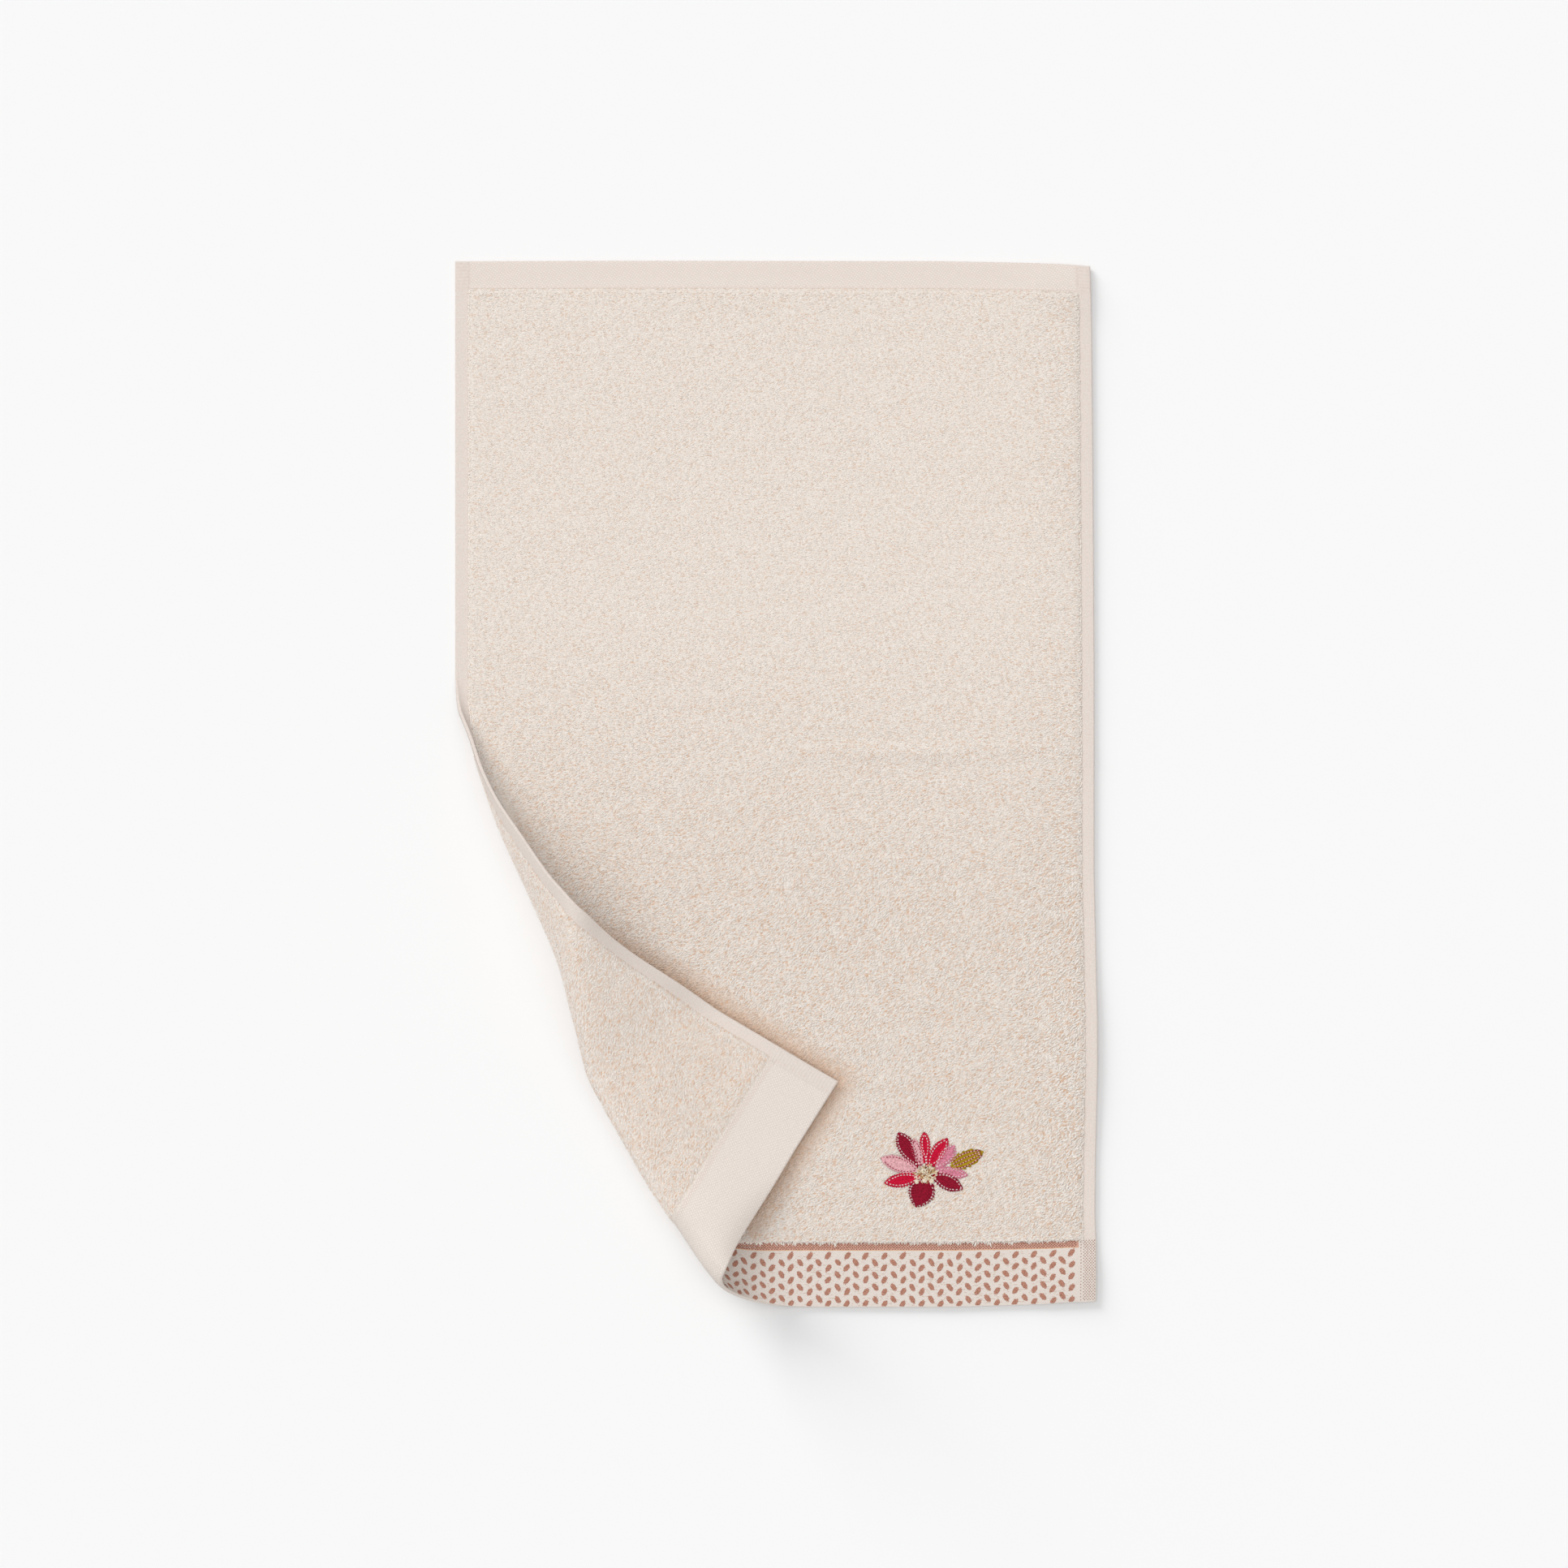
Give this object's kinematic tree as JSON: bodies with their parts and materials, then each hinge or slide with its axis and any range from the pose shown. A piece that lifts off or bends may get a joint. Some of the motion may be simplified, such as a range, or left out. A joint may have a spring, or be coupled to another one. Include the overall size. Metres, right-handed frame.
{
  "type": "hand towel",
  "caption": "Small cream cotton terry hand towel lying flat, one lower corner turned back, with a brown patterned woven band and an embroidered flower.",
  "frame": {"origin": "on the surface that the towel lies on, under the middle of the cloth", "axes": "+Y up the towel, from the patterned band to the plain top hem; +X to the right as the front is seen; +Z out of the front"},
  "size_m": [0.3044, 0.496, 0.0467],
  "materials": {
    "terry": "cream cotton terry, looped pile on both sides",
    "hem": "fine plain and twill weave of the hems and the band's back",
    "band_ground": "flat woven cream cotton",
    "band_brown": "reddish brown cotton yarn floats",
    "thread_dark_red": "glossy embroidery thread",
    "thread_crimson": "glossy embroidery thread",
    "thread_light_pink": "glossy embroidery thread",
    "thread_mid_pink": "glossy embroidery thread",
    "thread_mustard": "glossy embroidery thread",
    "thread_gold": "glossy embroidery thread"
  },
  "bodies": {
    "root": {"towel": "terry"}
  },
  "joints": []
}
